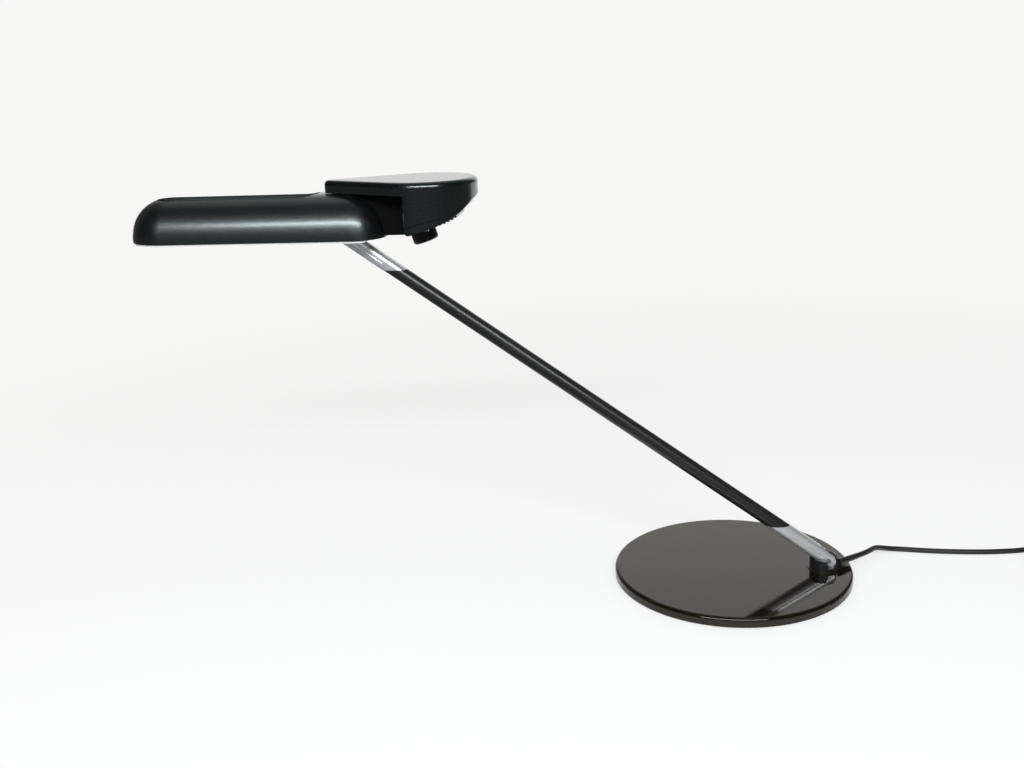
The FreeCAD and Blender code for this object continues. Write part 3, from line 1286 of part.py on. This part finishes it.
make_base()
make_turret()
make_arm()
make_shade()
make_bracket_and_lamp()
make_block_shell()
make_block_cover()
make_neck()
make_ballast()
make_switch()
make_cord()
check_and_export()
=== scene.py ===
import json
import math

import bpy
from mathutils import Matrix, Vector


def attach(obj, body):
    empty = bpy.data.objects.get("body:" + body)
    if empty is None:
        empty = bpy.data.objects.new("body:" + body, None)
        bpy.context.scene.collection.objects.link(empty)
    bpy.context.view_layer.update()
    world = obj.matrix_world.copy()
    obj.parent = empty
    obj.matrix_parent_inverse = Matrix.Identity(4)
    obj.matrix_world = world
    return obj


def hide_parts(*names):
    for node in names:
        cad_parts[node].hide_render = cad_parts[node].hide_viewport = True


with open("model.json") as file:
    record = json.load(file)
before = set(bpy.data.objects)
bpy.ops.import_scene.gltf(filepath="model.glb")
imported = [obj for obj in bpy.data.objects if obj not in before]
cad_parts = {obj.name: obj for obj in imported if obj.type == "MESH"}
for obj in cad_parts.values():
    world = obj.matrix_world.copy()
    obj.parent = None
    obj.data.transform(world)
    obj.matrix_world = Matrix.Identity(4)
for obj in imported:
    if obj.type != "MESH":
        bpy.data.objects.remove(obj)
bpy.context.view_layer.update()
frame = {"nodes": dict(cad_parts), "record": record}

# Camera, fitted to the base's ellipse, the arm and the shade
FOCAL_PIXELS = 1150
PHOTO_WIDTH = 1024
SENSOR_WIDTH = 36
CAMERA_PLACE = Vector((-0.0853, -1.1044, 0.5216))
LOOK = Vector((-0.11721, 0.9546, -0.27386))
LEVEL_RIGHT = Vector((0.99255, 0.12187, 0.0))
LEVEL_UP = Vector((-0.03337, 0.27182, 0.96177))
ROLL = math.radians(-2.2467)

# Cord, in metres: the free stretch, then a coil of two layers that winds in and back out
CORD_DIAMETER = 0.0055
FREE_STRETCH = (
    (0.127076, 0.011723, 0.0163),
    (0.138108, 0.020342, 0.0163),
    (0.1509, 0.0438, 0.0118),
    (0.1653, 0.0561, 0.0049),
    (0.1806, 0.0598, 0.00275),
    (0.2041, 0.0565, 0.00275),
    (0.2274, 0.0546, 0.00275),
    (0.2575, 0.0544, 0.00275),
    (0.2814, 0.0561, 0.00275),
    (0.3102, 0.0612, 0.00275),
    (0.327, 0.070384, 0.00365),
    (0.3445, 0.070384, 0.00365),
)
COIL_CENTRE = (0.350, 0.0266)
COIL_LOW = 0.00365
COIL_MEAN_RADIUS = 0.033
COIL_PITCH = 0.00595
COIL_TURNS = 3.625
CLIMB_TURNS = 0.5
POINTS_PER_TURN = 16
CORD_SMOOTHNESS = 6

# White as the eye sees it, with its tint, and the world's level of light on the object
WHITE = 0.93
WHITE_TINT = (1.0, 0.995, 0.99, 1.0)
WORLD_LIGHT = 0.42

# Room in reflections: the parts of a direction between which its ceiling, front and sides fade, and the level
# beyond them
CEILING_FADE = (0.42, 0.80)
CEILING_LEVEL = 0.45
FRONT_FADE = (0.35, -0.10)
FRONT_LEVEL = 0.16
SIDE_FADE = (0.28, 0.62)
SIDE_LEVEL = 0.08

# Floor in metres and levels: its colour for the light on the object, its glow and shadow part for the eye,
# and the distances between which it fades to white
FLOOR_SIZE = 60
FLOOR_COLOUR = (0.82, 0.82, 0.81, 1.0)
FLOOR_GLOW = 0.60
FLOOR_SHADOW = (0.45, 0.45, 0.45, 1.0)
FLOOR_FADE = (0.35, 1.7)

# Floor in reflections: where its front darkens, how much sooner it does so to the sides, and the level there
DARK_FADE = (-0.10, -0.40)
DARK_SLOPE = -0.9
DARK_LEVEL = 0.08

# Window light: its middle, its size, its power, and the lamp's head, which it faces
WINDOW_PLACE = (-0.15, -1.97, 1.52)
WINDOW_WIDTH = 2.5
WINDOW_HEIGHT = 0.32
WINDOW_POWER = 46
WINDOW_COLOUR = (0.92, 0.97, 1.0)
HEAD_PLACE = (-0.40, 0.0, 0.37)

# Finishes: detail of their clouds and of their grain, depth of the grain in metres, and the values of the
# clouds between which the gloss changes
CLOUD_DETAIL = 3.0
GRAIN_DETAIL = 2.0
GRAIN_DEPTH = 0.0002
CLOUD_SPAN = (0.3, 0.7)

# Plain and metal finishes by slot: name, the two colours and the two roughnesses that it varies between, and
# the scale of its clouds
PLAIN_FINISHES = {
    "nylon": ("nylon", (0.72, 0.71, 0.66), (0.78, 0.77, 0.72), (0.4, 0.5), 60.0),
    "cord_rubber": ("cord_sheath", (0.012, 0.012, 0.012), (0.018, 0.018, 0.018), (0.42, 0.5), 80.0),
    "tie_plastic": ("strap", (0.03, 0.03, 0.03), (0.04, 0.04, 0.04), (0.5, 0.6), 80.0),
    "white_paint": ("white_enamel", (0.78, 0.78, 0.76), (0.82, 0.82, 0.80), (0.3, 0.36), 30.0),
    "holder_plastic": ("white_plastic", (0.76, 0.76, 0.72), (0.80, 0.80, 0.76), (0.4, 0.5), 60.0),
    "lamp_glass": ("phosphor_glass", (0.86, 0.86, 0.83), (0.90, 0.90, 0.87), (0.12, 0.18), 60.0),
    "knob_plastic": ("satin_black_plastic", (0.005, 0.005, 0.005), (0.008, 0.008, 0.008), (0.35, 0.42), 60.0),
}
METAL_FINISHES = {
    "steel": ("zinc_plate", (0.48, 0.48, 0.49), (0.58, 0.58, 0.59), (0.28, 0.42), 90.0),
    "brass": ("plug_brass", (0.70, 0.55, 0.27), (0.78, 0.62, 0.34), (0.2, 0.3), 90.0),
    "winding": ("copper_winding", (0.55, 0.25, 0.10), (0.65, 0.32, 0.15), (0.35, 0.45), 200.0),
}


def clear_selection():
    bpy.ops.object.select_all(action="DESELECT")
    bpy.context.view_layer.objects.active = None


def make_camera():
    data = bpy.data.cameras.new("camera")
    data.sensor_width = SENSOR_WIDTH
    data.lens = SENSOR_WIDTH * FOCAL_PIXELS / PHOTO_WIDTH
    camera = bpy.data.objects.new("camera", data)
    bpy.context.scene.collection.objects.link(camera)
    right = LEVEL_RIGHT * math.cos(ROLL) + LEVEL_UP * math.sin(ROLL)
    up = LEVEL_UP * math.cos(ROLL) - LEVEL_RIGHT * math.sin(ROLL)
    turn = Matrix((right, up, -LOOK)).transposed().to_4x4()
    camera.matrix_world = Matrix.Translation(CAMERA_PLACE) @ turn
    bpy.context.scene.camera = camera


def coil_point(turns):
    """The coil's middle line: COIL_TURNS inward on the table, a short climb, as many outward on top."""
    inward = min(turns, 2 * COIL_TURNS - turns)
    outer = COIL_MEAN_RADIUS + COIL_PITCH * COIL_TURNS / 2
    radius = outer - COIL_PITCH * inward
    climb = min(max((turns - COIL_TURNS + CLIMB_TURNS / 2) / CLIMB_TURNS, 0.0), 1.0)
    angle = math.pi / 2 - 2 * math.pi * turns
    return (
        COIL_CENTRE[0] + radius * math.cos(angle),
        COIL_CENTRE[1] + radius * math.sin(angle),
        COIL_LOW + COIL_PITCH * climb,
    )


def make_cord():
    """The free stretch and the coil as one smooth cord."""
    points = list(FREE_STRETCH)
    steps = round(2 * COIL_TURNS * POINTS_PER_TURN)
    points += [coil_point(i / POINTS_PER_TURN) for i in range(steps + 1)]
    last = points[-1]
    points.append((last[0], last[1] - CORD_DIAMETER, last[2]))
    curve = bpy.data.curves.new("mains_cord", "CURVE")
    curve.dimensions = "3D"
    spline = curve.splines.new("NURBS")
    spline.points.add(len(points) - 1)
    for point, place in zip(spline.points, points):
        point.co = (*place, 1.0)
    spline.order_u = 3
    spline.use_endpoint_u = True
    spline.resolution_u = CORD_SMOOTHNESS
    curve.bevel_depth = CORD_DIAMETER / 2
    curve.bevel_resolution = CORD_SMOOTHNESS
    curve.use_fill_caps = True
    cord = bpy.data.objects.new("mains_cord", curve)
    bpy.context.scene.collection.objects.link(cord)
    cord.data.materials.append(materials["cord_rubber"])
    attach(cord, "base")
    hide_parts("cord_tube", "cord_coil")


def socket(shader, name, value):
    shader.inputs[name].default_value = value


def new_material(name, colour, roughness, metallic=0.0):
    material = bpy.data.materials.new(name)
    material.use_nodes = True
    shader = material.node_tree.nodes["Principled BSDF"]
    socket(shader, "Base Color", (*colour, 1.0))
    socket(shader, "Roughness", roughness)
    socket(shader, "Metallic", metallic)
    return material, shader


def add_node(material, kind, **inputs):
    node = material.node_tree.nodes.new(kind)
    for name, value in inputs.items():
        node.inputs[name.replace("_", " ")].default_value = value
    return node


def link(material, source, target):
    material.node_tree.links.new(source, target)


def noise(material, scale, detail):
    place = add_node(material, "ShaderNodeTexCoord")
    texture = add_node(material, "ShaderNodeTexNoise", Scale=scale, Detail=detail)
    link(material, place.outputs["Object"], texture.inputs["Vector"])
    return texture.outputs["Fac"]


def spread(material, fac, low, high):
    start, end = CLOUD_SPAN
    span = add_node(material, "ShaderNodeMapRange", From_Min=start, From_Max=end, To_Min=low, To_Max=high)
    link(material, fac, span.inputs["Value"])
    return span.outputs["Result"]


def bump(material, shader, fac, strength):
    node = add_node(material, "ShaderNodeBump", Strength=strength, Distance=GRAIN_DEPTH)
    link(material, fac, node.inputs["Height"])
    link(material, node.outputs["Normal"], shader.inputs["Normal"])


def two_colours(material, shader, fac, first, second):
    mix = add_node(material, "ShaderNodeMix")
    mix.data_type = "RGBA"
    mix.inputs[6].default_value = (*first, 1.0)
    mix.inputs[7].default_value = (*second, 1.0)
    link(material, fac, mix.inputs[0])
    link(material, mix.outputs[2], shader.inputs["Base Color"])


def finish_surface(name, first, second, rough, scale, metallic=0.0, grain=0.0, grain_scale=900.0):
    """A surface whose colour and gloss vary gently, with a fine grain."""
    material, shader = new_material(name, first, rough[0], metallic)
    clouds = noise(material, scale, CLOUD_DETAIL)
    two_colours(material, shader, clouds, first, second)
    link(material, spread(material, clouds, *rough), shader.inputs["Roughness"])
    if grain > 0:
        bump(material, shader, noise(material, grain_scale, GRAIN_DETAIL), grain)
    return material, shader


def make_base_enamel():
    """Dark glossy enamel with a warm cast and a fine orange peel."""
    material, shader = finish_surface(
        "base_gloss_enamel", (0.006, 0.005, 0.002), (0.009, 0.007, 0.003), (0.05, 0.07), 6.0,
        grain=0.05, grain_scale=700.0)
    socket(shader, "Specular Tint", (1.0, 0.93, 0.80, 1.0))
    return material


def make_head_finish(name, rough, coat_rough):
    """Nearly black green-grey paint with a faint metal flake under a clear coat."""
    material, shader = finish_surface(
        name, (0.062, 0.072, 0.072), (0.086, 0.100, 0.100), rough, 700.0,
        metallic=0.95, grain=0.06, grain_scale=2500.0)
    socket(shader, "Coat Weight", 0.75)
    socket(shader, "Coat Roughness", coat_rough)
    return material


def make_black_paint():
    """Satin black on the arm tube, turret and collar."""
    material, shader = finish_surface(
        "satin_black_paint", (0.014, 0.0135, 0.013), (0.019, 0.0185, 0.018), (0.30, 0.38), 30.0,
        grain=0.12, grain_scale=1500.0)
    socket(shader, "Coat Weight", 0.25)
    socket(shader, "Coat Roughness", 0.12)
    return material


def make_neck_black_and_shade():
    """Dull black plastic, darkened further as painted shade in the neck's recess between the lamp shade and
    the housing.
    """
    material, shader = finish_surface(
        "black_plastic_and_painted_shade", (0.002, 0.002, 0.002), (0.003, 0.003, 0.003), (0.6, 0.7), 60.0, grain=0.2)
    # Little gloss, so the neck keeps the painted shade of its recess
    socket(shader, "Specular IOR Level", 0.1)
    return material


def make_materials():
    made = {}
    for slot, finish in PLAIN_FINISHES.items():
        made[slot], _ = finish_surface(*finish)
    for slot, finish in METAL_FINISHES.items():
        made[slot], _ = finish_surface(*finish, metallic=1.0)
    made["felt"], _ = finish_surface(
        "felt_pad", (0.02, 0.02, 0.02), (0.035, 0.035, 0.035), (0.9, 1.0), 300.0, grain=0.8)
    made["chrome"], _ = finish_surface(
        "chrome_plate", (0.88, 0.88, 0.91), (0.92, 0.92, 0.95), (0.32, 0.36), 50.0, metallic=0.72)
    made["base_enamel"] = make_base_enamel()
    made["black_paint"] = make_black_paint()
    made["neck_plastic"] = make_neck_black_and_shade()
    made["shade_paint"] = make_head_finish("green_grey_paint", (0.30, 0.36), 0.20)
    made["housing_plastic"] = make_head_finish("green_grey_plastic", (0.22, 0.28), 0.10)
    return made


def dress_nodes():
    for row in frame["record"]["subparts"]:
        piece = frame["nodes"][row["node"]]
        piece.data.materials.clear()
        piece.data.materials.append(materials[row["material_slot"]])


def math_node(tree, operation, *values):
    """The result of an operation on sockets and numbers."""
    node = tree.nodes.new("ShaderNodeMath")
    node.operation = operation
    for place, value in zip(node.inputs, values):
        if isinstance(value, float):
            place.default_value = value
        else:
            tree.links.new(value, place)
    return node.outputs[0]


def smooth_fade(tree, source, span, first, last):
    """The value first up to the start of the span, then a smooth change to last at its end."""
    node = tree.nodes.new("ShaderNodeMapRange")
    node.interpolation_type = "SMOOTHSTEP"
    for name, value in zip(("From Min", "From Max", "To Min", "To Max"), (*span, first, last)):
        node.inputs[name].default_value = value
    tree.links.new(source, node.inputs["Value"])
    return node.outputs["Result"]


def light_paths(tree):
    """1 for what the eye or a reflection sees, and 1 for what a reflection sees."""
    paths = tree.nodes.new("ShaderNodeLightPath")
    mirrored = paths.outputs["Is Glossy Ray"]
    return math_node(tree, "MAXIMUM", paths.outputs["Is Camera Ray"], mirrored), mirrored


def place_axes(tree, kind):
    """A place on the floor or a direction in the room, whole and as X, Y and Z."""
    place = tree.nodes.new("ShaderNodeTexCoord").outputs[kind]
    axes = tree.nodes.new("ShaderNodeSeparateXYZ")
    tree.links.new(place, axes.inputs[0])
    return place, axes.outputs


def mirrored_room(tree, mirrored):
    """1 for the eye and for the light on the object; in reflections less at the ceiling, front and sides."""
    _, axes = place_axes(tree, "Generated")
    width = math_node(tree, "ABSOLUTE", axes["X"])
    ceiling = smooth_fade(tree, axes["Z"], CEILING_FADE, 1.0, CEILING_LEVEL)
    front = smooth_fade(tree, axes["Y"], FRONT_FADE, 1.0, FRONT_LEVEL)
    sides = smooth_fade(tree, width, SIDE_FADE, 1.0, SIDE_LEVEL)
    room = math_node(tree, "MULTIPLY", math_node(tree, "MULTIPLY", ceiling, front), sides)
    mix = tree.nodes.new("ShaderNodeMix")
    tree.links.new(mirrored, mix.inputs[0])
    mix.inputs[2].default_value = 1.0
    tree.links.new(room, mix.inputs[3])
    return mix.outputs[0]


def make_world():
    """A pale room: white to the eye, a plain level of light on the object."""
    world = bpy.data.worlds.new("studio")
    bpy.context.scene.world = world
    world.use_nodes = True
    tree = world.node_tree
    seen, mirrored = light_paths(tree)
    level = tree.nodes.new("ShaderNodeMapRange")
    level.inputs["To Min"].default_value = WORLD_LIGHT
    level.inputs["To Max"].default_value = WHITE
    tree.links.new(seen, level.inputs["Value"])
    strength = math_node(tree, "MULTIPLY", level.outputs["Result"], mirrored_room(tree, mirrored))
    shader = tree.nodes["Background"]
    shader.inputs["Color"].default_value = WHITE_TINT
    tree.links.new(strength, shader.inputs["Strength"])


def diffuse(tree, colour):
    shader = tree.nodes.new("ShaderNodeBsdfDiffuse")
    shader.inputs["Color"].default_value = colour
    return shader.outputs[0]


def emission(tree, colour, strength):
    shader = tree.nodes.new("ShaderNodeEmission")
    shader.inputs["Color"].default_value = colour
    shader.inputs["Strength"].default_value = strength
    return shader.outputs[0]


def mix_shaders(tree, part, first, second):
    mix = tree.nodes.new("ShaderNodeMixShader")
    for place, source in zip(mix.inputs, (part, first, second)):
        tree.links.new(source, place)
    return mix.outputs[0]


def floor_to_the_eye(tree, place):
    """A glow with the object's shadow on it, that fades to white far out."""
    near = tree.nodes.new("ShaderNodeAddShader")
    tree.links.new(emission(tree, WHITE_TINT, FLOOR_GLOW), near.inputs[0])
    tree.links.new(diffuse(tree, FLOOR_SHADOW), near.inputs[1])
    far = emission(tree, WHITE_TINT, WHITE)
    distance = tree.nodes.new("ShaderNodeVectorMath")
    distance.operation = "LENGTH"
    tree.links.new(place, distance.inputs[0])
    part = smooth_fade(tree, distance.outputs["Value"], FLOOR_FADE, 0.0, 1.0)
    return mix_shaders(tree, part, near.outputs[0], far)


def floor_front(tree, axes, mirrored):
    """1 where a reflection sees the floor's dark front and sides."""
    width = math_node(tree, "ABSOLUTE", axes["X"])
    back = math_node(tree, "MULTIPLY_ADD", width, DARK_SLOPE, axes["Y"])
    return math_node(tree, "MULTIPLY", smooth_fade(tree, back, DARK_FADE, 0.0, 1.0), mirrored)


def make_floor():
    """A pale floor that keeps the object's shadow."""
    clear_selection()
    bpy.ops.mesh.primitive_plane_add(size=FLOOR_SIZE)
    floor = bpy.context.object
    floor.name = "floor"
    material = bpy.data.materials.new("pale_table")
    material.use_nodes = True
    tree = material.node_tree
    tree.nodes.remove(tree.nodes["Principled BSDF"])
    seen, mirrored = light_paths(tree)
    place, axes = place_axes(tree, "Object")
    table = mix_shaders(tree, seen, diffuse(tree, FLOOR_COLOUR), floor_to_the_eye(tree, place))
    dark = emission(tree, (1.0, 1.0, 1.0, 1.0), DARK_LEVEL)
    finished = mix_shaders(tree, floor_front(tree, axes, mirrored), table, dark)
    tree.links.new(finished, tree.nodes["Material Output"].inputs["Surface"])
    floor.data.materials.append(material)


def make_window_light():
    """One wide window, high up behind the camera."""
    clear_selection()
    aim = (Vector(HEAD_PLACE) - Vector(WINDOW_PLACE)).to_track_quat("-Z", "Y")
    bpy.ops.object.light_add(type="AREA", location=WINDOW_PLACE, rotation=aim.to_euler())
    window = bpy.context.object
    window.name = "window_light"
    window.visible_camera = False
    window.data.shape = "RECTANGLE"
    window.data.size = WINDOW_WIDTH
    window.data.size_y = WINDOW_HEIGHT
    window.data.energy = WINDOW_POWER
    window.data.color = WINDOW_COLOUR


def make_stage():
    make_world()
    make_floor()
    make_window_light()


make_camera()
bpy.context.scene.view_settings.view_transform = "Standard"
materials = make_materials()
make_cord()
dress_nodes()
make_stage()
